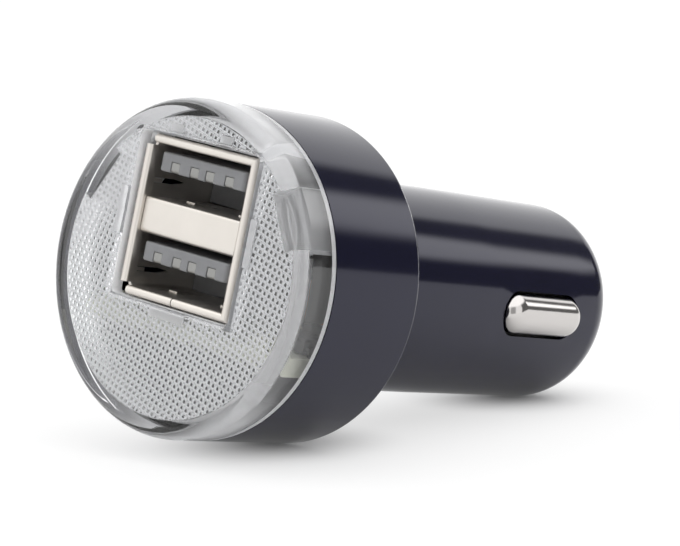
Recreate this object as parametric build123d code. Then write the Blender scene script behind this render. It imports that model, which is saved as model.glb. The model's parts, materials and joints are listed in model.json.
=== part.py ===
import math
import os

from build123d import *

# Car USB charger plug, in mm. The plug's axis is Y, with +Y into the socket, and Z runs up the stack of
# ports. The origin is the middle of the shoulder that stops against the socket's rim.

# Housing: a round head, a barrel behind it and a domed nose
head_radius = 16.0
head_length = 17.0  # lens face to shoulder
head_wall = 1.6
shoulder_wall = 1.8
shoulder_edge = 0.5
plug_radius = 10.5
plug_length = 42.2
plug_land = 18.0  # true cylinder next to the shoulder
nose_radius = 10.3  # drafted from the land to here
plug_wall = 1.6
nose_round_width = 6.6
nose_round_length = 5.0
nose_wall = 2.0

# Lens: clear cover that snaps into the head
lens_length = 4.6  # share of the head's length that is lens
lens_face_wall = 0.8
lens_side_wall = 1.8
lens_edge = 1.2
lip_wall = 0.8
lip_length = 1.2
tab_wall = 1.2
tab_width = 5.6
tab_length = 3.6  # behind the seam
tab_angles = (30, 150)
barb_height = 0.6
barb_length = 1.4
lens_gap = 0.15
seam_gap = 0.15  # reveal between lens and head; the lip's end is the seat
pocket_depth = 0.3
pocket_width = 0.7
pocket_length = 4.5
pocket_margin = 0.45  # from the window's edge
short_pocket_length = 1.5
short_pocket_pitch = 6.3

# Stacked USB connector
port_width = 12.5
port_height = 5.12
port_pitch = 8.6
stack_z = 4.0  # middle of the stack above the plug's axis
sheet = 0.3
shell_recess = 0.6  # behind the lens face
shell_back_gap = 1.0  # to the shoulder's wall
shell_bend = 0.6
roll_radius = 0.43  # of the lips round the ports
corner_x = 0.55  # open corners between the lips
corner_z = 0.55
corner_notch = 0.4  # behind the roll
seam_slit = 0.1
window_gap = 0.15  # above and below the lips
window_side_gap = 0.5
window_corner = 0.5
window_bevel = 0.4
window_frame = 0.4  # wall round the window, behind the face
window_frame_depth = 1.0
leg_width = 1.6
leg_reach = 0.8  # below the board
side_spring_front = 1.3  # behind the lips
side_spring_length = 4.4
side_spring_height = 0.5
side_spring_point = 1.6  # tapered end of the slot
side_spring_drop = 1.0  # below the port's middle
side_finger = 0.9
floor_spring_front = 3.6
floor_spring_length = 4.0
floor_spring_width = 1.2
floor_spring_x = 3.4
finger_gap = 0.08
finger_lift = 0.16
divider_recess = 0.6
divider_depth = 8.5
divider_upper_bend = 0.35
divider_lower_bend = 0.6
tongue_width = 11.1
tongue_height = 1.84
tongue_drop = 0.68  # below the port's ceiling
tongue_recess = 0.8
tongue_corner = 0.5
tongue_edge = 0.2
insulator_block = 1.3  # in front of the lower port's tails
blade_width = 1.0
blade_sheet = 0.25
blade_tip = 1.0
blade_tip_recess = 0.08
blade_places = (-3.5, -1.0, 1.0, 3.5)
blade_gap = 0.06
tail_pitch = 1.3  # between the two rows of tails
tail_reach = 0.8

# Circuit board
board_thickness = 1.6
board_standoff = 2.0  # under the connector's shell
board_front_gap = 1.6  # behind the lens's inner face
board_gap = 0.25  # to the bores that carry it
board_neck_gap = 0.5
board_corner = 0.8
hole_gap = 0.12
part_gap = 0.8
edge_gap = 0.4  # to the board's ends

# Sprung contacts
contact_y = 27.6
contact_length = 12.4
contact_width = 4.1
contact_proud = 1.2
contact_round = 1.7
contact_gap = 0.3
contact_travel = 1.25
strip = 0.4
flange_margin = 0.9  # at the bump's ends
flange_lip = 0.5  # along its sides
flange_round = 0.8
seat_gap = 0.05
arm_width = 4.0
arm_bend = 0.6
arm_drop = 0.1  # below the bump
tip_radius = 2.7
tip_proud = 4.5
tip_round = 2.0
tip_gap = 0.2
collar_radius = 3.9
collar_length = 1.2
collar_gap = 0.4
guide_radius = 1.9
guide_length = 3.0
coil_radius = 2.5
coil_wire = 0.5
coil_length = 7.5
coil_turns = 5
terminal_width = 6.0
terminal_foot = 1.6
terminal_margin = 0.6  # above the coil

# Parts on the board
inductor_radius = 4.0
inductor_height = 7.2
inductor_flange = 1.2
inductor_core_radius = 1.9
winding_gap = 0.05
winding_inset = 0.4
input_can_radius = 3.15
input_can_height = 7.7
output_can_radius = 2.5
output_can_height = 7.0
can_edge = 0.4
can_bead = 0.35
can_bead_height = 1.3
can_rim = 0.5
can_dish = 0.25
chip_length = 4.9
chip_width = 3.9
chip_height = 1.5
chip_lead_pitch = 1.27
chip_lead_width = 0.42
chip_lead_sheet = 0.2
chip_lead_reach = 0.75
diode_length = 4.3
diode_width = 2.6
diode_height = 2.2
diode_lead = 1.4
fuse_length = 3.2
fuse_width = 1.6
fuse_height = 0.8
led_length = 2.0
led_width = 1.25
led_height = 1.1
resistor_length = 2.0
resistor_width = 1.25
resistor_height = 0.5
resistor_pitch = 2.2
capacitor_length = 2.0
capacitor_width = 1.4
capacitor_height = 1.2
capacitor_pitch = 2.6

# Places worked out from the sizes above
lens_face = -head_length
seam = lens_length - head_length
lens_back = lens_face + lens_face_wall
lens_bore = head_radius - lens_side_wall
head_bore = head_radius - head_wall
lip_radius = lens_bore + lip_wall
rebate_radius = lip_radius + lens_gap
rebate_end = seam + lip_length
lens_rim = seam - seam_gap
tab_end = seam + tab_length
barb_radius = lens_bore + barb_height
groove_start = tab_end - barb_length - lens_gap
groove_end = tab_end + lens_gap
plug_bore = plug_radius - plug_wall
nose_start = plug_length - nose_round_length
nose_seat = plug_length - nose_wall
tip_hole = tip_radius + tip_gap
collar_seat = collar_radius + collar_gap

shell_front = lens_face + shell_recess
shell_back = -shoulder_wall - shell_back_gap
shell_width = port_width + 2 * sheet
shell_height = port_height + port_pitch + 2 * sheet
upper_z = stack_z + port_pitch / 2
lower_z = stack_z - port_pitch / 2
roll_reach = 2 * roll_radius - sheet  # beyond the walls' outer faces
window_width = shell_width + 2 * (roll_reach + window_side_gap)
window_height = shell_height + 2 * (roll_reach + window_gap)
wall_start = shell_front + roll_radius
upper_tail_y = shell_back - sheet - tail_pitch / 2
lower_tail_y = upper_tail_y - tail_pitch
block_front = lower_tail_y - tail_pitch / 2 - insulator_block

board_top = stack_z - shell_height / 2 - board_standoff
board_bottom = board_top - board_thickness
board_front = lens_back + board_front_gap
board_neck = -shoulder_wall - board_neck_gap
leg_places = (board_front + leg_width, lower_tail_y - leg_width)
board_head_half = math.sqrt((lens_bore - board_gap) ** 2 - board_bottom**2)
board_tail_half = math.sqrt((plug_bore - board_gap) ** 2 - board_bottom**2)
beside_shell = (shell_width / 2 + board_head_half) / 2

collar_back = nose_seat - collar_length
terminal_face = collar_back - coil_length
flange_face = plug_bore - seat_gap
flange_half = contact_width / 2 + flange_lip
flange_length = contact_length + 2 * flange_margin

inductor_y = inductor_radius + part_gap
input_can_y = inductor_y + inductor_radius + input_can_radius + part_gap
output_can_y = input_can_y + input_can_radius + output_can_radius + part_gap


# A sketch drawn in X and Z, run along Y from front to back
def run(sketch, front, back):
    plane = Plane((0, back, 0), x_dir=(1, 0, 0), z_dir=(0, -1, 0))
    return extrude(plane * sketch, amount=back - front)


# A block by its limits
def block(x_limits, y_limits, z_limits):
    limits = (x_limits, y_limits, z_limits)
    middle = [sum(pair) / 2 for pair in limits]
    size = [pair[1] - pair[0] for pair in limits]
    return Pos(*middle) * Box(*size)


# A part that stands on the board, on its footprint
def on_board(x, y, length_x, length_y, height):
    x_limits = (x - length_x / 2, x + length_x / 2)
    y_limits = (y - length_y / 2, y + length_y / 2)
    return block(x_limits, y_limits, (board_top, board_top + height))


# A sheet strip of even width along a bent path
def bent_strip(points, bend, width, thickness, width_axis):
    path = FilletPolyline(*points, radius=bend)
    plane = Plane(path @ 0, x_dir=width_axis, z_dir=path % 0)
    return sweep(plane * Rectangle(width, thickness), path)


def housing():
    outer_nose = EllipticalCenterArc(
        (nose_radius - nose_round_width, nose_start), nose_round_width, nose_round_length, 0, arc_size=90
    )
    inner_nose = EllipticalCenterArc(
        (collar_seat, nose_start), plug_bore - collar_seat, nose_seat - nose_start, 0, arc_size=90
    )
    corner = (head_radius - shoulder_edge, -shoulder_edge)
    section = Curve() + [
        Polyline((rebate_radius, seam), (head_radius, seam), (head_radius, -shoulder_edge)),
        CenterArc(corner, shoulder_edge, 0, 90),
        Polyline(
            (head_radius - shoulder_edge, 0),
            (plug_radius, 0),
            (plug_radius, plug_land),
            (nose_radius, nose_start),
        ),
        outer_nose,
        Polyline(
            (nose_radius - nose_round_width, plug_length),
            (tip_hole, plug_length),
            (tip_hole, nose_seat),
            (collar_seat, nose_seat),
        ),
        inner_nose,
        Polyline(
            (plug_bore, nose_start),
            (plug_bore, -shoulder_wall),
            (head_bore, -shoulder_wall),
            (head_bore, groove_end),
            (barb_radius + lens_gap, groove_end),
            (barb_radius + lens_gap, groove_start),
            (head_bore, groove_start),
            (head_bore, rebate_end),
            (rebate_radius, rebate_end),
            (rebate_radius, seam),
        ),
    ]
    body = revolve(make_face(section), Axis.Y)
    slot_length = contact_length + 2 * contact_gap
    slot_width = contact_width + 2 * contact_gap
    slot = SlotOverall(slot_length, slot_width)
    pocket = Rectangle(flange_length + 2 * contact_gap, 2 * (flange_half + contact_gap))
    for side in (1, -1):
        plane = Plane((0, contact_y, 0), x_dir=(0, 1, 0), z_dir=(side, 0, 0))
        body -= extrude(plane * slot, amount=head_radius)
        body -= extrude(plane * pocket, amount=plug_bore)
    return body


def lens_cap():
    edge_centre = (head_radius - lens_edge, lens_face + lens_edge)
    section = Curve() + [
        Polyline((0, lens_back), (0, lens_face), (head_radius - lens_edge, lens_face)),
        CenterArc(edge_centre, lens_edge, 270, 90),
        Polyline(
            (head_radius, lens_face + lens_edge),
            (head_radius, lens_rim),
            (lip_radius, lens_rim),
            (lip_radius, rebate_end),
            (lens_bore, rebate_end),
            (lens_bore, lens_back),
            (0, lens_back),
        ),
    ]
    cap = revolve(make_face(section), Axis.Y)

    # snap tabs with flat inner faces, cut from a disc with a barbed edge
    catch = tab_end - barb_length
    tab_face = lens_bore - tab_wall
    barbed_disc = revolve(
        make_face(
            Polyline(
                (0, lens_back),
                (lip_radius, lens_back),
                (lip_radius, seam),
                (lens_bore, seam),
                (lens_bore, catch),
                (barb_radius, catch),
                (lens_bore, tab_end),
                (0, tab_end),
                close=True,
            )
        ),
        Axis.Y,
    )
    tab_bar = block((tab_face, head_radius), (lens_back, tab_end), (-tab_width / 2, tab_width / 2))
    for angle in tab_angles:
        cap += barbed_disc & (Rot(0, -angle, 0) * tab_bar)

    # bevelled window for the ports with a frame behind it, and the coring pockets round them
    frame = Rectangle(window_width + 2 * window_frame, window_height + 2 * window_frame)
    cap += run(Pos(0, stack_z) * frame, lens_back, lens_back + window_frame_depth)
    window = RectangleRounded(window_width, window_height, window_corner)
    cap -= run(Pos(0, stack_z) * window, lens_face, seam)
    cap = chamfer(cap.faces().sort_by(Axis.Y)[0].inner_wires()[0].edges(), window_bevel)
    across = window_width / 2 + pocket_margin + pocket_width / 2
    up = window_height / 2 + pocket_margin + pocket_width / 2
    pockets = [Pos(side * across, stack_z) * Rectangle(pocket_width, pocket_length) for side in (1, -1)]
    pockets += [Pos(0, stack_z - up) * Rectangle(pocket_length, pocket_width)]
    pockets += [
        Pos(side * short_pocket_pitch / 2, stack_z + up) * Rectangle(short_pocket_length, pocket_width)
        for side in (1, -1)
    ]
    for pocket in pockets:
        cap -= run(pocket, lens_back - pocket_depth, lens_back)
    return cap


# A port's floor with a slot, and in it a finger that rises toward the front
def with_floor_spring(floor, x, middle):
    front = shell_front + floor_spring_front
    back = front + floor_spring_length
    half = floor_spring_width / 2
    slot = block((x - half, x + half), (front, back), (middle - sheet, middle + sheet))
    points = (
        (x, back + sheet, middle),
        (x, back, middle),
        (x, front + 2 * finger_gap, middle + finger_lift),
    )
    return floor - slot + bent_strip(points, sheet, floor_spring_width - 2 * finger_gap, sheet, (1, 0, 0))


def usb_shell():
    outer = RectangleRounded(shell_width, shell_height, shell_bend)
    inner = RectangleRounded(shell_width - 2 * sheet, shell_height - 2 * sheet, shell_bend - sheet)
    shell = run(Pos(0, stack_z) * outer, wall_start, shell_back)
    shell -= run(Pos(0, stack_z) * inner, wall_start, shell_back - sheet)

    # lips rolled outward, one on each wall, with open corners between them
    walls = (
        (0, shell_height / 2, shell_width / 2 - corner_x),
        (90, shell_width / 2, shell_height / 2 - corner_z),
    )
    for turn, half, reach in walls:
        centre = (wall_start, half - sheet + roll_radius)
        profile = Curve() + [
            CenterArc(centre, roll_radius, 90, 180),
            Line((wall_start, half - sheet), (wall_start, half)),
            CenterArc(centre, roll_radius - sheet, 90, 180),
            Line((wall_start, half + roll_reach - sheet), (wall_start, half + roll_reach)),
        ]
        lip = extrude(Plane.YZ * make_face(profile), amount=reach, both=True)
        for angle in (turn, turn + 180):
            shell += Pos(0, 0, stack_z) * Rot(0, angle, 0) * lip
    notch_x = (shell_width / 2 - corner_x, shell_width)
    notch_z = (shell_height / 2 - corner_z, shell_height)
    for side in (1, -1):
        for end in (1, -1):
            x_limits = sorted(side * x for x in notch_x)
            z_limits = sorted(stack_z + end * z for z in notch_z)
            shell -= block(x_limits, (shell_front, wall_start + corner_notch), z_limits)

    # springs that hold the plugs: fingers bent inward in slots in the side walls and the floor
    floor = stack_z - shell_height / 2
    slot_front = shell_front + side_spring_front
    slot_back = slot_front + side_spring_length
    half = side_spring_height / 2
    for z in (upper_z - side_spring_drop, lower_z - side_spring_drop):
        outline = Polyline(
            (slot_front, z - half),
            (slot_back - side_spring_point, z - half),
            (slot_back, z),
            (slot_back - side_spring_point, z + half),
            (slot_front, z + half),
            close=True,
        )
        shell -= extrude(Plane.YZ * make_face(outline), amount=shell_width, both=True)
        for side in (1, -1):
            middle = side * (shell_width - sheet) / 2
            points = (
                (middle, slot_front - sheet, z),
                (middle, slot_front, z),
                (middle - side * finger_lift, slot_front + side_finger, z),
            )
            shell += bent_strip(points, sheet, side_spring_height - 2 * finger_gap, sheet, (0, 0, 1))
    for x in (floor_spring_x, -floor_spring_x):
        shell = with_floor_spring(shell, x, floor + sheet / 2)

    # the floor is open behind the lower port, for the tails, and has a seam along its middle
    open_half = shell_width / 2 - shell_bend
    shell -= block((-open_half, open_half), (block_front, shell_back - sheet), (floor - sheet, floor + sheet))
    seam_limits = (floor - roll_reach, floor + sheet)
    shell -= block((-seam_slit / 2, seam_slit / 2), (shell_front, block_front), seam_limits)

    # legs that stand in the board
    for y in leg_places:
        for side in (1, -1):
            x_limits = sorted((side * shell_width / 2, side * (shell_width / 2 - sheet)))
            y_limits = (y - leg_width / 2, y + leg_width / 2)
            shell += block(x_limits, y_limits, (board_bottom - leg_reach, floor + shell_bend))
    return shell


def usb_divider():
    height = port_pitch - port_height
    front = shell_front + divider_recess
    back = front + divider_depth
    width = port_width - 2 * blade_gap
    outer = Plane.YZ * Pos((front + back) / 2, stack_z) * Rectangle(divider_depth, height)
    channel = extrude(outer, amount=width / 2, both=True)
    hollow = block(
        (-width / 2, width / 2),
        (front + sheet, back),
        (stack_z - height / 2 + sheet, stack_z + height / 2 - sheet),
    )
    for end, bend in ((-1, divider_upper_bend), (0, divider_lower_bend)):
        edges = channel.edges().filter_by(Axis.X).sort_by(Axis.Y)[:2].sort_by(Axis.Z)
        channel = fillet(edges[end], bend)
        edges = hollow.edges().filter_by(Axis.X).sort_by(Axis.Y)[:2].sort_by(Axis.Z)
        hollow = fillet(edges[end], bend - sheet)
    divider = channel - hollow
    for x in (floor_spring_x, -floor_spring_x):
        divider = with_floor_spring(divider, x, stack_z + (height - sheet) / 2)
    return divider


# Underside of a port's tongue
def tongue_floor(port_z):
    return port_z + port_height / 2 - tongue_drop - tongue_height


def usb_insulator(port_z, tail_y):
    floor = tongue_floor(port_z)
    front = shell_front + tongue_recess
    block_back = tail_y - tail_pitch / 2
    half = tongue_width / 2
    tongue = block((-half, half), (front, block_back), (floor, floor + tongue_height))
    tongue = fillet(tongue.edges().filter_by(Axis.Z).group_by(Axis.Y)[0], tongue_corner)
    tongue = fillet(tongue.faces().sort_by(Axis.Y)[0].edges().filter_by(Axis.X), tongue_edge)
    half = port_width / 2 - blade_gap
    z_limits = (port_z - port_height / 2 + blade_gap, port_z + port_height / 2 - blade_gap)
    body = tongue + block((-half, half), (block_front, block_back), z_limits)
    for x in blade_places:
        x_limits = (x - blade_width / 2 - blade_gap, x + blade_width / 2 + blade_gap)
        body -= block(x_limits, (front, block_back), (floor, floor + blade_sheet + blade_gap))
        notch = front + blade_tip_recess + blade_sheet + blade_gap
        body -= block(x_limits, (front, notch), (floor, floor + blade_tip + blade_gap))
    return body


# The lower block also stands on the board, through the shell's open floor
def usb_insulator_lower():
    body = usb_insulator(lower_z, lower_tail_y)
    y_limits = (block_front, lower_tail_y - tail_pitch / 2)
    foot_limits = (port_width / 4, port_width / 2 - shell_bend)
    for side in (1, -1):
        x_limits = sorted(side * x for x in foot_limits)
        body += block(x_limits, y_limits, (board_top, lower_z))
    return body


# Four blades: tip bent up at the tongue's front, tail bent down through the board
def usb_contacts(port_z, tail_y):
    middle = tongue_floor(port_z) + blade_sheet / 2
    tip_y = shell_front + tongue_recess + blade_tip_recess + blade_sheet / 2
    blades = []
    for x in blade_places:
        points = (
            (x, tip_y, tongue_floor(port_z) + blade_tip),
            (x, tip_y, middle),
            (x, tail_y, middle),
            (x, tail_y, board_bottom - tail_reach),
        )
        blades.append(bent_strip(points, blade_sheet, blade_width, blade_sheet, (1, 0, 0)))
    return Compound(blades)


def circuit_board():
    outline = Polyline(
        (-board_head_half, board_front),
        (board_head_half, board_front),
        (board_head_half, board_neck),
        (board_tail_half, board_neck),
        (board_tail_half, terminal_face),
        (-board_tail_half, terminal_face),
        (-board_tail_half, board_neck),
        (-board_head_half, board_neck),
        close=True,
    )
    face = make_face(outline)
    face = fillet(face.vertices(), board_corner)
    for y in (upper_tail_y, lower_tail_y):
        for x in blade_places:
            face -= Pos(x, y) * Rectangle(blade_width + 2 * hole_gap, blade_sheet + 2 * hole_gap)
    for y in leg_places:
        for side in (1, -1):
            x = side * (shell_width - sheet) / 2
            face -= Pos(x, y) * Rectangle(sheet + 2 * hole_gap, leg_width + 2 * hole_gap)
    return extrude(Plane((0, 0, board_bottom)) * face, amount=board_thickness)


# One pressed strip: a long rounded bump, its flange, and an arm that ends in a foot on the board
def side_contact(side):
    plane = Plane((0, contact_y, 0), x_dir=(0, 1, 0), z_dir=(1, 0, 0))
    back = flange_face - strip
    crown = plug_radius + contact_proud

    def bump(inset):
        stadium = SlotOverall(contact_length - 2 * inset, contact_width - 2 * inset)
        solid = extrude(plane.offset(back) * stadium, amount=crown - inset - back)
        return fillet(solid.faces().sort_by(Axis.X)[-1].edges(), contact_round - inset)

    flange = RectangleRounded(flange_length, 2 * flange_half, flange_round)
    contact = extrude(plane.offset(back) * flange, amount=strip) + bump(0)
    sheet_middle = flange_face - strip / 2
    foot_z = board_top + strip / 2
    foot_end = terminal_width / 2 + contact_travel + contact_gap
    points = (
        (sheet_middle, contact_y, -contact_width / 4),
        (sheet_middle, contact_y, -contact_width / 2 - arm_drop),
        (board_tail_half, contact_y, foot_z),
        (foot_end, contact_y, foot_z),
    )
    contact += bent_strip(points, arm_bend, arm_width, strip, (0, 1, 0))
    contact -= bump(strip)
    return contact if side > 0 else mirror(contact, Plane.YZ)


def tip_contact():
    end = plug_length + tip_proud
    round_centre = (tip_radius - tip_round, end - tip_round)
    section = Curve() + [
        Polyline(
            (0, end),
            (0, collar_back - guide_length),
            (guide_radius, collar_back - guide_length),
            (guide_radius, collar_back),
            (collar_radius, collar_back),
            (collar_radius, nose_seat),
            (tip_radius, nose_seat),
            (tip_radius, end - tip_round),
        ),
        CenterArc(round_centre, tip_round, 0, 90),
        Line((tip_radius - tip_round, end), (0, end)),
    ]
    return revolve(make_face(section), Axis.Y)


# Coil of six-sided wire, which keeps its facets few
def tip_spring():
    height = coil_length - coil_wire
    path = Helix(height / coil_turns, height, coil_radius)
    wire = sweep(Plane(path @ 0, z_dir=path % 0) * RegularPolygon(coil_wire / 2, 6), path, is_frenet=True)
    return Pos(0, terminal_face + coil_wire / 2, 0) * Rot(-90, 0, 0) * wire


def tip_terminal():
    sheet_y = terminal_face - strip / 2
    foot_z = board_top + strip / 2
    top = coil_radius + coil_wire / 2 + terminal_margin
    points = ((0, sheet_y - terminal_foot, foot_z), (0, sheet_y, foot_z), (0, sheet_y, top))
    return bent_strip(points, strip, terminal_width, strip, (1, 0, 0))


def inductor_core():
    core = Cylinder(inductor_core_radius, inductor_height)
    rise = (inductor_height - inductor_flange) / 2
    for z in (rise, -rise):
        core += Pos(0, 0, z) * Cylinder(inductor_radius, inductor_flange)
    return Pos(0, inductor_y, board_top + inductor_height / 2) * core


def inductor_winding():
    height = inductor_height - 2 * (inductor_flange + winding_gap)
    ring = Cylinder(inductor_radius - winding_inset, height)
    ring -= Cylinder(inductor_core_radius + winding_gap, height)
    return Pos(0, inductor_y, board_top + inductor_height / 2) * ring


# Electrolytic can: crimped bead near its base, rounded edge and dished top
def electrolytic(y, radius, height):
    section = Curve() + [
        Polyline(
            (radius, height - can_edge),
            (radius, can_bead_height + can_bead),
            (radius - can_bead, can_bead_height),
            (radius, can_bead_height - can_bead),
            (radius, 0),
            (0, 0),
            (0, height - can_dish),
            (radius - can_rim - can_edge, height - can_dish),
            (radius - can_rim - can_edge, height),
            (radius - can_edge, height),
        ),
        CenterArc((radius - can_edge, height - can_edge), can_edge, 0, 90),
    ]
    can = revolve(Plane.XZ * make_face(section), Axis.Z)
    return Pos(0, y, board_top) * can


def converter_chip():
    standoff = chip_lead_sheet
    y = (board_front + board_neck) / 2
    chip = on_board(beside_shell, y, chip_width, chip_length, chip_height)
    chip -= on_board(beside_shell, y, chip_width, chip_length, standoff)
    chip = chamfer(chip.faces().sort_by(Axis.Z)[-1].edges(), chip_lead_sheet)
    foot_z = board_top + chip_lead_sheet / 2
    lead_z = board_top + chip_height / 2
    for row in range(4):
        lead_y = y + (row - 1.5) * chip_lead_pitch
        for side in (1, -1):
            inner = beside_shell + side * (chip_width / 2 - chip_lead_sheet)
            knee = beside_shell + side * (chip_width / 2 + chip_lead_reach / 2)
            toe = beside_shell + side * (chip_width / 2 + chip_lead_reach)
            points = [(inner, lead_z), (knee, lead_z), (knee, foot_z), (toe, foot_z)]
            points = [(x, lead_y, z) for x, z in points]
            chip += bent_strip(points, chip_lead_sheet, chip_lead_width, chip_lead_sheet, (0, 1, 0))
    return chip


def rectifier_diode():
    led_back = board_front + edge_gap + led_length
    resistor_front = board_neck - edge_gap - resistor_length
    y = (led_back + resistor_front) / 2
    body = on_board(-beside_shell, y, diode_width, diode_length, diode_height)
    body = chamfer(body.faces().sort_by(Axis.Z)[-1].edges(), chip_lead_sheet)
    leads = on_board(-beside_shell, y, diode_lead, diode_length + diode_lead, chip_lead_sheet)
    return body + leads


def input_fuse():
    y = terminal_face - strip - terminal_foot - part_gap - fuse_width / 2
    return on_board(0, y, fuse_length, fuse_width, fuse_height)


def indicator_leds():
    y = board_front + edge_gap + led_length / 2
    places = (beside_shell, -beside_shell)
    return Compound([on_board(x, y, led_width, led_length, led_height) for x in places])


def chip_resistors():
    y = board_neck - edge_gap - resistor_length / 2
    row = [-beside_shell + (n - 0.5) * resistor_pitch for n in range(2)]
    return Compound([on_board(x, y, resistor_width, resistor_length, resistor_height) for x in row])


def ceramic_capacitors():
    y = board_neck - edge_gap - capacitor_length / 2
    row = [beside_shell + (n - 0.5) * capacitor_pitch for n in range(2)]
    return Compound([on_board(x, y, capacitor_width, capacitor_length, capacitor_height) for x in row])


parts = {
    "housing": housing(),
    "lens_cap": lens_cap(),
    "usb_shell": usb_shell(),
    "usb_divider": usb_divider(),
    "usb_insulator_upper": usb_insulator(upper_z, upper_tail_y),
    "usb_insulator_lower": usb_insulator_lower(),
    "usb_contacts_upper": usb_contacts(upper_z, upper_tail_y),
    "usb_contacts_lower": usb_contacts(lower_z, lower_tail_y),
    "circuit_board": circuit_board(),
    "side_contact_right": side_contact(1),
    "side_contact_left": side_contact(-1),
    "tip_contact": tip_contact(),
    "tip_spring": tip_spring(),
    "tip_terminal": tip_terminal(),
    "inductor_core": inductor_core(),
    "inductor_winding": inductor_winding(),
    "input_capacitor": electrolytic(input_can_y, input_can_radius, input_can_height),
    "output_capacitor": electrolytic(output_can_y, output_can_radius, output_can_height),
    "converter_chip": converter_chip(),
    "rectifier_diode": rectifier_diode(),
    "input_fuse": input_fuse(),
    "indicator_leds": indicator_leds(),
    "chip_resistors": chip_resistors(),
    "ceramic_capacitors": ceramic_capacitors(),
}

os.makedirs("parts", exist_ok=True)
for node, shape in parts.items():
    export_step(shape, f"parts/{node}.step")
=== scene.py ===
import json
import math

import bmesh
import bpy
from mathutils import Matrix, Vector


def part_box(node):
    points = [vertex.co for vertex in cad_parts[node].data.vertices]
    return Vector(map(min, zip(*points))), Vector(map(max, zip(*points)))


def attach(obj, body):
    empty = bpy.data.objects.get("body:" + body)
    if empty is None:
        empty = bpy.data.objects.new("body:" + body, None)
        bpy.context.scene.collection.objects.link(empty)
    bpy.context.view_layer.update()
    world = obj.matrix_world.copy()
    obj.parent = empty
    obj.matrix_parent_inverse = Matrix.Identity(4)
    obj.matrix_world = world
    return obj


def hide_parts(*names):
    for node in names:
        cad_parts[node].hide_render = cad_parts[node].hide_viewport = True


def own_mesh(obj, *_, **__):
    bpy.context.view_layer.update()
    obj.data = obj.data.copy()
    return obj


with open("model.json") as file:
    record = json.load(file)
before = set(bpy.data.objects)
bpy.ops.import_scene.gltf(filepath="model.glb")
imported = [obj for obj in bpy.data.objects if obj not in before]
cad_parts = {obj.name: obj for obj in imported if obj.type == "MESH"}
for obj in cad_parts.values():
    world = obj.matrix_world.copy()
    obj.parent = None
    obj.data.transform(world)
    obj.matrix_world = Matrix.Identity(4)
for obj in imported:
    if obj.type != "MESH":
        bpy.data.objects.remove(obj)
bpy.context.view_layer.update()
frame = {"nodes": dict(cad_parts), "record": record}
scene = bpy.context.scene
scene.view_settings.view_transform = "Standard"
mm = 0.001
print("frame loaded:", len(frame["nodes"]), "nodes")


class Signal:  # a shader socket that can stand in a sum
    def __init__(self, finish, socket):
        self.finish = finish
        self.socket = socket

    def __add__(self, other):
        return self.finish.maths("ADD", self, other)

    def __radd__(self, other):
        return self.finish.maths("ADD", other, self)

    def __sub__(self, other):
        return self.finish.maths("SUBTRACT", self, other)

    def __rsub__(self, other):
        return self.finish.maths("SUBTRACT", other, self)

    def __mul__(self, other):
        return self.finish.maths("MULTIPLY", self, other)

    def __rmul__(self, other):
        return self.finish.maths("MULTIPLY", other, self)


class Finish:  # the node tree of a material or of the world
    def __init__(self, name, tree=None):
        if tree is None:
            self.material = bpy.data.materials.new(name)
            self.material.use_nodes = True
            tree = self.material.node_tree
        self.tree = tree
        self.tree.nodes.clear()

    def node(self, kind, settings=None, sockets=None, output=0):
        made = self.tree.nodes.new(kind)
        for key, value in (settings or {}).items():
            setattr(made, key, value)
        for key, value in (sockets or {}).items():
            if isinstance(value, Signal):
                self.tree.links.new(value.socket, made.inputs[key])
            else:
                made.inputs[key].default_value = value
        return Signal(self, made.outputs[output]) if made.outputs else made

    def maths(self, operation, first, second=0.0):
        return self.node("ShaderNodeMath", {"operation": operation}, {0: first, 1: second})

    def measure(self, operation, first, second):  # one number from two vectors
        settings = {"operation": operation}
        return self.node("ShaderNodeVectorMath", settings, {0: first, 1: second}, "Value")

    def blend(self, share, first, second):
        sockets = {0: share, 6: first, 7: second}
        return self.node("ShaderNodeMix", {"data_type": "RGBA"}, sockets, 2)

    def mottle(self, share, colour, tones):  # between a darker and a lighter tone of the colour
        darker, lighter = tones
        return self.blend(share, shade(colour, darker), shade(colour, lighter))

    def ramp(self, value, low, high):  # 0 at low, 1 at high, eased
        settings = {"interpolation_type": "SMOOTHSTEP"}
        sockets = {"Value": value, "From Min": low, "From Max": high}
        return self.node("ShaderNodeMapRange", settings, sockets)

    def place(self, stretch=(1, 1, 1)):
        where = self.node("ShaderNodeTexCoord", None, None, "Object")
        return self.node("ShaderNodeMapping", None, {"Vector": where, "Scale": stretch})

    def noise(self, where, grain, detail=2.0):  # grain in mm
        sockets = {"Vector": where, "Scale": 1 / (grain * mm), "Detail": detail}
        return self.node("ShaderNodeTexNoise", None, sockets)

    def bump(self, height, depth):  # depth in mm
        sockets = {"Height": height, "Distance": depth * mm, "Strength": 1.0}
        return self.node("ShaderNodeBump", None, sockets)

    def rayIs(self, kind):
        return self.node("ShaderNodeLightPath", None, None, f"Is {kind} Ray")

    def surface(self, sockets):
        self.close(self.node("ShaderNodeBsdfPrincipled", None, sockets))
        return self.material

    def close(self, shader):
        self.node("ShaderNodeOutputMaterial", None, {"Surface": shader})


def shade(colour, factor=1.0):
    return (colour[0] * factor, colour[1] * factor, colour[2] * factor, 1.0)


glossBlack = {  # sizes and depths in mm, here and below
    "colour": (0.0035, 0.0035, 0.0145),
    "tones": (0.85, 1.15),
    "sheen": (0.8, 0.8, 0.95),
    "gloss": 0.09,
    "uneven": 0.04,
    "index": 1.5,
    "level": 0.45,
    "cloud": 5.0,
    "detail": 3.0,
    "peel": 0.35,
    "peelDepth": 0.0006,
}


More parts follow.
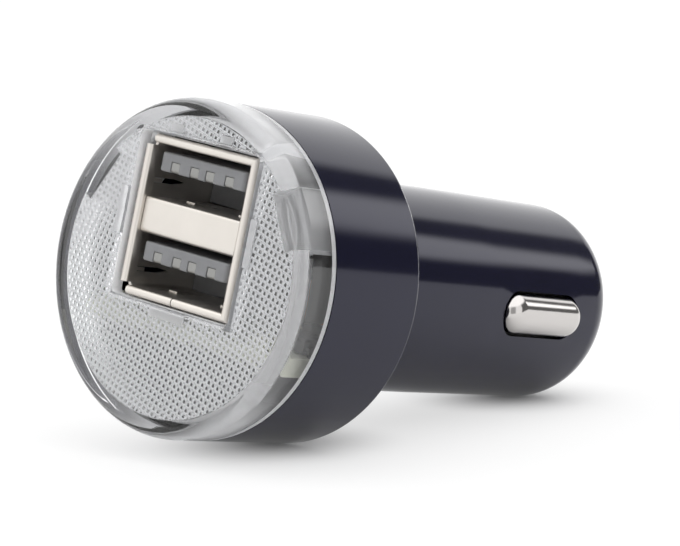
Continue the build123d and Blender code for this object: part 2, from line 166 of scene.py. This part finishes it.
def housingFinish():
    finish = Finish("housingGloss")
    where = finish.place()
    cloud = finish.noise(where, glossBlack["cloud"], glossBlack["detail"])
    peel = finish.noise(where, glossBlack["peel"])
    return finish.surface({
        "Base Color": finish.mottle(cloud, glossBlack["colour"], glossBlack["tones"]),
        "Roughness": glossBlack["gloss"] + glossBlack["uneven"] * cloud,
        "IOR": glossBlack["index"],
        "Specular IOR Level": glossBlack["level"],
        "Specular Tint": shade(glossBlack["sheen"]),
        "Normal": finish.bump(peel, glossBlack["peelDepth"]),
    })


clearLens = {
    "colour": (0.975, 0.98, 0.99),
    "gloss": 0.02,
    "uneven": 0.02,
    "index": 1.58,
    "frontIndex": 1.42,
    "flow": 4.0,
    "flowDepth": 0.004,
}


def lensFinish(name, index):
    finish = Finish(name)
    flow = finish.noise(finish.place(), clearLens["flow"])
    return finish.surface({
        "Base Color": shade(clearLens["colour"]),
        "Roughness": clearLens["gloss"] + clearLens["uneven"] * flow,
        "IOR": index,
        "Transmission Weight": 1.0,
        "Normal": finish.bump(flow, clearLens["flowDepth"]),
    })


lensHaze = {  # how matt a part of the lens is: it grows along an axis, either way from a middle
    "seat": {"most": 1.0, "axis": (0.945, 0, 0.326), "shift": 16.0, "from": 2.0, "to": 12.0},
    "bore": {"most": 0.75, "axis": (0, 0, 1), "shift": 0.0, "from": 7.0, "to": 13.0},
    "tabs": {"most": 0.95, "axis": (-1, 0, 0), "shift": 16.0, "from": -20.0, "to": 28.0},
    "pockets": {"most": 0.6, "axis": (0, 0, 1), "shift": 40.0, "from": 0.0, "to": 10.0},
    "dots": {"most": 0.55, "axis": (-0.707, 0, 0.707), "shift": 16.0, "from": 23.5, "to": 27.0},
}
mattLens = {
    "colour": (0.94, 0.94, 0.95),
    "tones": (0.92, 1.05),
    "rough": 0.5,
    "uneven": 0.2,
    "grain": 0.15,
}


def hazyFinish(part):
    finish = Finish("lensHazy" + part.capitalize())
    spread = lensHaze[part]
    where = finish.place()
    grain = finish.noise(where, mattLens["grain"])
    along = finish.measure("DOT_PRODUCT", where, spread["axis"])
    along = finish.maths("ABSOLUTE", along + spread["shift"] * mm)
    haze = finish.ramp(along, spread["from"] * mm, spread["to"] * mm) * spread["most"]
    matt = finish.node("ShaderNodeBsdfPrincipled", None, {
        "Base Color": finish.mottle(grain, mattLens["colour"], mattLens["tones"]),
        "Roughness": mattLens["rough"] + mattLens["uneven"] * grain,
    })
    clear = finish.node("ShaderNodeBsdfPrincipled", None, {
        "Base Color": shade(clearLens["colour"]),
        "Roughness": clearLens["gloss"],
        "IOR": clearLens["index"],
        "Transmission Weight": 1.0,
    })
    finish.close(finish.node("ShaderNodeMixShader", None, {0: haze, 1: clear, 2: matt}))
    return finish.material


frostedPrism = {
    "colour": (0.95, 0.955, 0.97),
    "tones": (0.9, 1.04),
    "rough": 0.35,
    "uneven": 0.1,
    "level": 0.1,
    "clear": 0.02,
    "grain": 0.12,
}


def prismFinish():  # the moulded faces behind the lens, cloudy where the rest is polished
    finish = Finish("lensPrism")
    grain = finish.noise(finish.place(), frostedPrism["grain"])
    return finish.surface({
        "Base Color": finish.mottle(grain, frostedPrism["colour"], frostedPrism["tones"]),
        "Roughness": frostedPrism["rough"] + frostedPrism["uneven"] * grain,
        "IOR": clearLens["index"],
        "Specular IOR Level": frostedPrism["level"],
        "Transmission Weight": frostedPrism["clear"],
    })


satinNickel = {
    "colour": (0.68, 0.645, 0.6),
    "tones": (0.93, 1.05),
    "rough": 0.26,
    "lay": 0.05,
    "stretch": (0.04, 1, 1),  # rolled along X
    "layRough": 0.1,
    "layDepth": 0.002,
    "stain": 2.5,
    "stainRough": 0.08,
    "detail": 3.0,
}


def sheetFinish():
    finish = Finish("sheetSatin")
    rolled = finish.place(satinNickel["stretch"])
    lay = finish.noise(rolled, satinNickel["lay"], satinNickel["detail"])
    stain = finish.noise(finish.place(), satinNickel["stain"], satinNickel["detail"])
    rough = satinNickel["rough"] + satinNickel["layRough"] * lay
    return finish.surface({
        "Base Color": finish.mottle(stain, satinNickel["colour"], satinNickel["tones"]),
        "Metallic": 1.0,
        "Roughness": rough + satinNickel["stainRough"] * stain,
        "Normal": finish.bump(lay, satinNickel["layDepth"]),
    })


naturalTongue = {
    "colour": (0.34, 0.345, 0.36),
    "tones": (0.85, 1.15),
    "rough": 0.28,
    "uneven": 0.15,
    "index": 1.52,
    "clear": 0.5,
    "grain": 0.8,
    "grainDepth": 0.004,
    "detail": 3.0,
}


def tongueFinish():
    finish = Finish("tongueNatural")
    grain = finish.noise(finish.place(), naturalTongue["grain"], naturalTongue["detail"])
    return finish.surface({
        "Base Color": finish.mottle(grain, naturalTongue["colour"], naturalTongue["tones"]),
        "Roughness": naturalTongue["rough"] + naturalTongue["uneven"] * grain,
        "IOR": naturalTongue["index"],
        "Transmission Weight": naturalTongue["clear"],
        "Normal": finish.bump(grain, naturalTongue["grainDepth"]),
    })


drawnMetal = {"tones": (0.94, 1.04), "uneven": 0.08, "depth": 0.0008, "detail": 3.0}
# painted shade on the side contacts: their flanks go dark down in the slot
slotShadePainted = {"from": 9.5, "to": 10.1, "level": 0.03, "rough": 0.3}  # from the barrel's middle


def metalFinish(name, colour, rough, lay, stretch, paintedShade=None):  # drawn, turned or plated
    finish = Finish(name)
    streak = finish.noise(finish.place(stretch), lay, drawnMetal["detail"])
    tone = finish.mottle(streak, colour, drawnMetal["tones"])
    rough = rough + drawnMetal["uneven"] * streak
    if paintedShade:  # painted shade: nearly black and rougher down in its slot, the plain nickel tone further out
        out = finish.node("ShaderNodeSeparateXYZ", None, {"Vector": finish.place()}, "X")
        out = finish.maths("ABSOLUTE", out)
        outsideShade = finish.ramp(out, paintedShade["from"] * mm, paintedShade["to"] * mm)
        tone = finish.blend(outsideShade, shade(colour, paintedShade["level"]), tone)
        rough = rough + paintedShade["rough"] * (1 - outsideShade)
    return finish.surface({
        "Base Color": tone,
        "Metallic": 1.0,
        "Roughness": rough,
        "Normal": finish.bump(streak, drawnMetal["depth"]),
    })


mouldedGrain = {"uneven": 0.15, "depth": 0.003, "detail": 4.0}


def mouldedFinish(name, colour, rough, grain, spread):  # resin, ceramic, laminate
    finish = Finish(name)
    speck = finish.noise(finish.place(), grain, mouldedGrain["detail"])
    return finish.surface({
        "Base Color": finish.mottle(speck, colour, (1 - spread, 1 + spread)),
        "Roughness": rough + mouldedGrain["uneven"] * speck,
        "Normal": finish.bump(speck, mouldedGrain["depth"]),
    })


metals = {  # name, colour, roughness, lay, and how the lay is drawn out
    "plated_blade": ("bladePlated", (0.3, 0.3, 0.29), 0.4, 0.08, (1, 0.05, 1)),
    "bright_nickel": ("contactNickel", (0.578, 0.556, 0.542), 0.1, 0.06, (1, 0.04, 1)),
    "spring_steel": ("springDrawn", (0.55, 0.55, 0.56), 0.3, 0.1, (1, 1, 1)),
    "enamelled_copper": ("windingCopper", (0.55, 0.2, 0.07), 0.25, 0.18, (0.1, 0.1, 1)),
    "can_aluminium": ("canDrawn", (0.7, 0.7, 0.72), 0.3, 0.1, (1, 1, 0.1)),
}
mouldings = {  # name, colour, roughness, grain, and the spread of its tones
    "board_laminate": ("boardLaminate", (0.74, 0.75, 0.62), 0.45, 0.25, 0.12),
    "ferrite": ("coreFerrite", (0.04, 0.04, 0.043), 0.55, 0.12, 0.4),
    "chip_resin": ("chipResin", (0.018, 0.018, 0.02), 0.5, 0.1, 0.3),
    "chip_ceramic": ("chipCeramic", (0.45, 0.34, 0.2), 0.4, 0.12, 0.12),
    "lamp_resin": ("lampResin", (0.8, 0.8, 0.66), 0.2, 0.3, 0.08),
}
finishes = {
    "housing_plastic": housingFinish(),
    "clear_plastic": lensFinish("lensClear", clearLens["index"]),
    "plated_sheet": sheetFinish(),
    "insulator_plastic": tongueFinish(),
}
finishes.update({slot: metalFinish(*look) for slot, look in metals.items()})
finishes.update({slot: mouldedFinish(*look) for slot, look in mouldings.items()})
lensMaterials = {
    "polished": finishes["clear_plastic"],
    "front": lensFinish("lensFront", clearLens["frontIndex"]),  # keeps the prisms bright
    "prisms": prismFinish(),
}
lensMaterials.update({part: hazyFinish(part) for part in lensHaze})
# the side contacts take the nickel with the painted slot shade
shadedNickel = metalFinish("contactSlotShade", *metals["bright_nickel"][1:], slotShadePainted)
pieceFinishes = {"side_contact_right": shadedNickel, "side_contact_left": shadedNickel}
nodeSlots = {row["node"]: row["material_slot"] for row in frame["record"]["subparts"]}
for node, cadObject in frame["nodes"].items():
    cadObject.data.materials.clear()
    cadObject.data.materials.append(finishes[nodeSlots[node]])
print("finishes made:", len(finishes) + len(lensMaterials))


def bodyOf(node):
    bodies = frame["record"]["behaviour"]["bodies"]
    return next(body for body, nodes in bodies.items() if node in nodes)


def settle(piece):  # turns live modifiers into a plain mesh
    evaluated = piece.evaluated_get(bpy.context.evaluated_depsgraph_get())
    mesh = bpy.data.meshes.new_from_object(evaluated)
    piece.modifiers.clear()
    piece.data = mesh


def smooth(piece, degrees):
    piece.data.shade_smooth()
    piece.data.set_sharp_from_angle(angle=math.radians(degrees))


def newObject(name, mesh):
    made = bpy.data.objects.new(name, mesh)
    scene.collection.objects.link(made)
    return made


welding = {"distance": 0.0005, "flat": 0.05}  # mm and degrees


def weldedForm(node):  # the node's triangles, joined up
    form = bmesh.new()
    form.from_mesh(frame["nodes"][node].data)
    bmesh.ops.remove_doubles(form, verts=form.verts, dist=welding["distance"] * mm)
    return form


def weldedCopy(node, name):  # the node's solid, with whole faces
    form = weldedForm(node)
    flat = math.radians(welding["flat"])
    bmesh.ops.dissolve_limit(form, angle_limit=flat, verts=form.verts, edges=form.edges)
    mesh = bpy.data.meshes.new(name)
    form.to_mesh(mesh)
    form.free()
    mesh.materials.append(pieceFinishes.get(node, finishes[nodeSlots[node]]))
    return newObject(name, mesh)


def seat(piece, node):  # the piece takes the node's place
    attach(piece, bodyOf(node))
    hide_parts(node)


portCorners = {  # middle of the right lip and of the top and bottom ones, and where they end
    "front": -15.9,
    "sideMiddle": 6.68,
    "rowEnd": 6.0,
    "rows": (
        {"middle": 11.29, "sideEnd": 10.61, "way": 1},
        {"middle": -3.29, "sideEnd": -2.61, "way": -1},
    ),
    "lipHalf": 0.5,
    "slack": 0.002,
}


def mitreCorners(piece):  # on the right the rolled lips run on and meet
    sideMiddle = portCorners["sideMiddle"]
    lipHalf = portCorners["lipHalf"]
    slack = portCorners["slack"]
    for vertex in piece.data.vertices:
        x, y, z = vertex.co / mm
        if y > portCorners["front"]:
            continue
        for row in portCorners["rows"]:
            offRow = z - row["middle"]
            offSide = x - sideMiddle
            if abs(x - portCorners["rowEnd"]) < slack and abs(offRow) < lipHalf:
                vertex.co.x = (sideMiddle + row["way"] * offRow) * mm
            elif abs(z - row["sideEnd"]) < slack and abs(offSide) < lipHalf:
                vertex.co.z = (row["middle"] + row["way"] * offSide) * mm


dressedNodes = {  # piece name, edge break in mm, angle that stays crisp
    "housing": ("housingShell", 0.0, 25),
    "usb_shell": ("portShell", 0.03, 25),
    "usb_divider": ("portDivider", 0.03, 25),
    "usb_insulator_upper": ("tongueUpper", 0.05, 25),
    "usb_insulator_lower": ("tongueLower", 0.05, 25),
    "side_contact_right": ("sideContactRight", 0.0, 30),
    "side_contact_left": ("sideContactLeft", 0.0, 30),
    "tip_contact": ("tipPin", 0.0, 30),
    "tip_spring": ("tipCoil", 0.0, 50),
}
edgeBreaks = {"segments": 2, "from": 40.0}  # degrees
for node, (name, edgeBreak, crisp) in dressedNodes.items():
    piece = weldedCopy(node, name)
    if node == "usb_shell":
        mitreCorners(piece)
    if edgeBreak:
        bevel = piece.modifiers.new("edgeBreak", "BEVEL")
        bevel.width = edgeBreak * mm
        bevel.segments = edgeBreaks["segments"]
        bevel.limit_method = "ANGLE"
        bevel.angle_limit = math.radians(edgeBreaks["from"])
        settle(piece)
    smooth(piece, crisp)
    seat(piece, node)
coilLow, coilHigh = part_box("tip_spring")
coilLength = coilHigh[1] - coilLow[1]
joints = {joint["name"]: joint for joint in frame["record"]["behaviour"]["joints"]}
tipTravel = joints["tip_press"]["range_m"][1]
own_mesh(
    bpy.data.objects["tipCoil"],
    "tip_press",
    axis=(0, 1, 0),
    anchor=(0, coilLow[1], 0),
    keep=1 - tipTravel / coilLength,
)
print("dressed:", len(dressedNodes))


prisms = {
    "pitch": 0.6,
    "fill": 0.99,
    "top": 0.33,
    "slope": 45.0,
    "turn": 15.5,
    "sink": 0.01,
    "face": -16.2,
    "rows": 49,
    "margin": 0.08,
    "spare": 0.1,
    "crisp": 25,
}


def prismTree():  # rows of small blunt pyramids that stand on the lens's inner face
    tree = bpy.data.node_groups.new("prismRows", "GeometryNodeTree")
    inputs = (
        ("Pitch", "NodeSocketFloat"),
        ("Base", "NodeSocketFloat"),
        ("Top", "NodeSocketFloat"),
        ("Height", "NodeSocketFloat"),
        ("Sink", "NodeSocketFloat"),
        ("Turn", "NodeSocketFloat"),
        ("Face", "NodeSocketFloat"),
        ("Rows", "NodeSocketInt"),
        ("Finish", "NodeSocketMaterial"),
    )
    for name, kind in inputs:
        tree.interface.new_socket(name, in_out="INPUT", socket_type=kind)
    tree.interface.new_socket("Geometry", in_out="OUTPUT", socket_type="NodeSocketGeometry")
    given = tree.nodes.new("NodeGroupInput").outputs

    def add(kind, settings=None, sockets=None):
        made = tree.nodes.new(kind)
        for key, value in (settings or {}).items():
            setattr(made, key, value)
        for key, value in (sockets or {}).items():
            if isinstance(value, bpy.types.NodeSocket):
                tree.links.new(value, made.inputs[key])
            else:
                made.inputs[key].default_value = value
        return made.outputs

    def maths(operation, first, second):
        return add("ShaderNodeMath", {"operation": operation}, {0: first, 1: second})[0]

    span = maths("MULTIPLY", given["Pitch"], maths("SUBTRACT", given["Rows"], 1.0))
    grid = add("GeometryNodeMeshGrid", None, {
        "Size X": span,
        "Size Y": span,
        "Vertices X": given["Rows"],
        "Vertices Y": given["Rows"],
    })["Mesh"]
    cornerReach = math.sqrt(0.5)  # from a square's middle, for a side of 1
    prism = add("GeometryNodeMeshCone", {"fill_type": "NGON"}, {
        "Vertices": 4,
        "Radius Top": maths("MULTIPLY", given["Top"], cornerReach),
        "Radius Bottom": maths("MULTIPLY", given["Base"], cornerReach),
        "Depth": given["Height"],
    })["Mesh"]
    square = add("GeometryNodeTransform", None, {
        "Geometry": prism,
        "Rotation": (0, 0, math.pi / 4),
    })[0]
    rows = add("GeometryNodeInstanceOnPoints", None, {"Points": grid, "Instance": square})[0]
    base = maths("SUBTRACT", given["Face"], given["Sink"])
    stood = add("GeometryNodeTransform", None, {
        "Geometry": rows,
        "Translation": add("ShaderNodeCombineXYZ", None, {"Y": base})[0],
        "Rotation": add("ShaderNodeCombineXYZ", None, {"X": -math.pi / 2, "Y": given["Turn"]})[0],
    })[0]
    real = add("GeometryNodeRealizeInstances", None, {"Geometry": stood})[0]
    done = add("GeometryNodeSetMaterial", None, {
        "Geometry": real,
        "Material": given["Finish"],
    })[0]
    tree.links.new(done, tree.nodes.new("NodeGroupOutput").inputs[0])
    return tree


def setInputs(modifier, values):
    for item in modifier.node_group.interface.items_tree:
        if item.item_type == "SOCKET" and item.in_out == "INPUT":
            modifier[item.identifier] = values[item.name]


lensRegions = {  # places in mm, and how far a face turns to the back, from -1 to 1
    "seat": -12.6,
    "bore": 14.25,
    "tabs": (10.0, 14.1),
    "window": (8.1, 8.35),
    "windowMiddle": 4.0,
    "windowDepth": 0.5,
    "slack": 0.001,
    "planeSlack": 0.01,
    "flat": 0.999,
    "frameTurn": -0.5,
    "dotTurn": 0.95,
    "prismTurn": 0.2,
}


def isPlainFace(face):
    offPlane = face.calc_center_median().y / mm - prisms["face"]
    return face.normal.y >= lensRegions["flat"] and abs(offPlane) <= lensRegions["planeSlack"]


def plainSlab(depth):  # stands on the plain inner face: the prisms stay within it
    form = weldedForm("lens_cap")
    others = [face for face in form.faces if not isPlainFace(face)]
    bmesh.ops.delete(form, geom=others, context="FACES")
    margin = prisms["margin"] * mm
    inset = bmesh.ops.inset_region(
        form, faces=form.faces[:], thickness=margin, use_boundary=True
    )
    bmesh.ops.delete(form, geom=inset["faces"], context="FACES")
    bmesh.ops.translate(form, verts=form.verts, vec=(0, -prisms["sink"] * mm, 0))
    grown = bmesh.ops.extrude_face_region(form, geom=form.faces[:])["geom"]
    top = [item for item in grown if isinstance(item, bmesh.types.BMVert)]
    bmesh.ops.translate(form, verts=top, vec=(0, depth * mm, 0))
    bmesh.ops.recalc_face_normals(form, faces=form.faces)
    mesh = bpy.data.meshes.new("plainSlab")
    form.to_mesh(mesh)
    form.free()
    return newObject("plainSlab", mesh)


def combine(piece, other, operation):
    joined = piece.modifiers.new(operation, "BOOLEAN")
    joined.operation = operation
    joined.solver = "MANIFOLD"
    joined.object = other
    settle(piece)
    bpy.data.objects.remove(other)


def lensPart(face, height):  # which finish a face of the lens has
    x, y, z = face.center / mm
    radius = math.hypot(x, z)
    behind = y - prisms["face"]
    backward = face.normal.y
    halfX, halfZ = lensRegions["window"]
    tabsFrom, tabsTo = lensRegions["tabs"]
    pastPrisms = behind > height + lensRegions["slack"]
    if backward < -lensRegions["flat"]:
        return "front"
    if tabsFrom < radius < tabsTo and pastPrisms:
        return "tabs"
    if y > lensRegions["seat"]:
        return "seat"
    if abs(x) < halfX and abs(z - lensRegions["windowMiddle"]) < halfZ:
        framed = backward > lensRegions["frameTurn"] and behind > -lensRegions["windowDepth"]
        return "prisms" if framed else "polished"
    if radius > lensRegions["bore"]:
        return "polished"
    if pastPrisms:
        return "bore"
    if behind < -lensRegions["slack"]:
        return "pockets"
    if backward > lensRegions["dotTurn"]:
        return "dots"
    return "prisms" if backward > lensRegions["prismTurn"] else "polished"


def makeLens():
    lens = weldedCopy("lens_cap", "lensCover")
    base = prisms["pitch"] * prisms["fill"]
    height = (base - prisms["top"]) / 2 * math.tan(math.radians(prisms["slope"]))
    field = newObject("prismField", bpy.data.meshes.new("prismField"))
    rows = field.modifiers.new("prismRows", "NODES")
    rows.node_group = prismTree()
    setInputs(rows, {
        "Pitch": prisms["pitch"] * mm,
        "Base": base * mm,
        "Top": prisms["top"] * mm,
        "Height": height * mm,
        "Sink": prisms["sink"] * mm,
        "Turn": math.radians(prisms["turn"]),
        "Face": prisms["face"] * mm,
        "Rows": prisms["rows"],
        "Finish": finishes["clear_plastic"],
    })
    settle(field)
    combine(field, plainSlab(height + prisms["spare"]), "INTERSECT")
    combine(lens, field, "UNION")
    lens.data.materials.clear()
    for material in lensMaterials.values():
        lens.data.materials.append(material)
    places = list(lensMaterials)
    for face in lens.data.polygons:
        face.material_index = places.index(lensPart(face, height))
    smooth(lens, prisms["crisp"])
    seat(lens, "lens_cap")
    print("lens faces:", len(lens.data.polygons))


makeLens()


stageFloor = {
    "droop": 8.59,  # degrees
    "roll": 7.92,
    "size": 6000.0,
    "white": 0.86,
    "backdrop": 0.66,  # share of plain white that the camera and clear pieces see
    "mirrored": 0.12,  # and that glossy pieces reflect
    "headEnd": 5.0,
    "reach": 14.0,  # the glow is less this near to where the plug stands, so its shadow shows
    "least": 0.1,
}


def floorGlow(finish, spots):
    away = 1.0
    for spot in spots:
        distance = finish.measure("DISTANCE", finish.place(), spot)
        away = finish.ramp(distance, 0.0, stageFloor["reach"] * mm) * away
    away = stageFloor["least"] + (1 - stageFloor["least"]) * away
    direct = finish.maths("MAXIMUM", finish.rayIs("Camera"), finish.rayIs("Transmission"))
    mirrored = finish.rayIs("Glossy") * stageFloor["mirrored"]
    return finish.maths("MAXIMUM", direct * stageFloor["backdrop"] * away, mirrored)


def makeFloor():
    slopeX = -math.tan(math.radians(stageFloor["roll"]))
    slopeY = -math.tan(math.radians(stageFloor["droop"]))
    normal = Vector((slopeX, slopeY, 1)).normalized()
    solids = [cadObject.data for cadObject in frame["nodes"].values()]
    points = [vertex.co for solid in solids for vertex in solid.vertices]
    level = min(normal.dot(point) for point in points)
    half = stageFloor["size"] * mm / 2
    turn = Vector((0, 0, 1)).rotation_difference(normal).to_matrix()
    flat = [Vector((x * half, y * half, 0)) for x, y in ((-1, -1), (1, -1), (1, 1), (-1, 1))]
    mesh = bpy.data.meshes.new("stageFloor")
    mesh.from_pydata([turn @ corner + normal * level for corner in flat], [], [(0, 1, 2, 3)])
    headEnd = stageFloor["headEnd"] * mm
    head = [point for point in points if point.y < headEnd]
    barrel = [point for point in points if point.y > headEnd]
    spots = [min(stands, key=normal.dot) for stands in (head, barrel)]
    finish = Finish("floorWhite")
    white = shade((1, 1, 1), stageFloor["white"])
    paper = finish.node("ShaderNodeBsdfDiffuse", None, {"Color": white})
    glow = finish.node("ShaderNodeEmission", None, {"Color": (1, 1, 1, 1), "Strength": 1.0})
    share = floorGlow(finish, spots)
    finish.close(finish.node("ShaderNodeMixShader", None, {0: share, 1: paper, 2: glow}))
    mesh.materials.append(finish.material)
    newObject("stageFloor", mesh)
    return normal


floorUp = makeFloor()


studio = {  # angles in degrees, from the camera, to its right
    "walls": 1.25,
    "front": 0.5,  # round the camera
    "frontHalf": 18.0,
    "frontSoft": 6.0,
    "gap": 0.16,  # dark room on the right
    "gapFrom": 62.0,
    "gapTo": 138.0,
    "gapSoft": 4.0,
    "softbox": 2.0,
    "softboxAzimuth": 115.0,
    "softboxElevation": 22.0,
    "softboxHalf": (7.0, 8.0),
    "softboxSoft": 3.0,
    "ceiling": 1.7,
    "ceilingFrom": 40.0,
    "ceilingSoft": 6.0,
    "backdrop": 0.98,  # what the camera sees
}


def makeWorld(towardCamera):
    world = bpy.data.worlds.new("studioWorld")
    world.use_nodes = True
    scene.world = world
    finish = Finish("studioWorld", world.node_tree)
    ahead = (towardCamera - floorUp * towardCamera.dot(floorUp)).normalized()
    aside = floorUp.cross(ahead)
    where = finish.node("ShaderNodeTexCoord", None, None, "Generated")

    def along(axis):
        return finish.measure("DOT_PRODUCT", where, axis)

    def past(angle, edge, soft):
        return finish.ramp(angle, edge - soft, edge + soft)

    def within(angle, middle, half, soft):
        return 1 - past(finish.maths("ABSOLUTE", angle - middle), half, soft)

    degrees = 180 / math.pi
    azimuth = finish.maths("ARCTAN2", along(aside), along(ahead)) * degrees
    elevation = finish.maths("ARCSINE", along(floorUp)) * degrees
    gap = past(azimuth, studio["gapFrom"], studio["gapSoft"])
    gap = gap * (1 - past(azimuth, studio["gapTo"], studio["gapSoft"]))
    halfAz, halfEl = studio["softboxHalf"]
    soft = studio["softboxSoft"]
    softbox = within(azimuth, studio["softboxAzimuth"], halfAz, soft)
    softbox = softbox * within(elevation, studio["softboxElevation"], halfEl, soft)
    ceiling = past(elevation, studio["ceilingFrom"], studio["ceilingSoft"])
    front = within(azimuth, 0.0, studio["frontHalf"], studio["frontSoft"])
    room = studio["walls"] + (studio["gap"] - studio["walls"]) * gap
    room = room + (studio["front"] - studio["walls"]) * front
    room = room + softbox * studio["softbox"]
    room = room + ceiling * (studio["ceiling"] - room)
    level = room + finish.rayIs("Camera") * (studio["backdrop"] - room)
    white = {"Color": (1, 1, 1, 1), "Strength": level}
    shader = finish.node("ShaderNodeBackground", None, white)
    finish.node("ShaderNodeOutputWorld", None, {"Surface": shader})


view = {  # mm and degrees
    "aim": (3.37, 2.97, 1.47),
    "azimuth": 39.49,
    "elevation": 4.98,
    "roll": 11.56,
    "distance": 282.05,
    "lens": 153.5,
    "sensor": 36.0,
    "clipEnd": 20000.0,
}


def makeCamera():
    camera = bpy.data.cameras.new("photoCamera")
    camera.lens = view["lens"]
    camera.sensor_width = view["sensor"]
    camera.clip_end = view["clipEnd"] * mm
    holder = newObject("photoCamera", camera)
    turn = Matrix.Rotation(math.radians(view["azimuth"]), 4, "Z")
    turn = turn @ Matrix.Rotation(math.radians(90 - view["elevation"]), 4, "X")
    turn = turn @ Matrix.Rotation(math.radians(view["roll"]), 4, "Z")
    back = Matrix.Translation((0, 0, view["distance"] * mm))
    holder.matrix_world = Matrix.Translation(Vector(view["aim"]) * mm) @ turn @ back
    scene.camera = holder
    return turn.to_3x3() @ Vector((0, 0, 1))


makeWorld(makeCamera())
print("stage set")
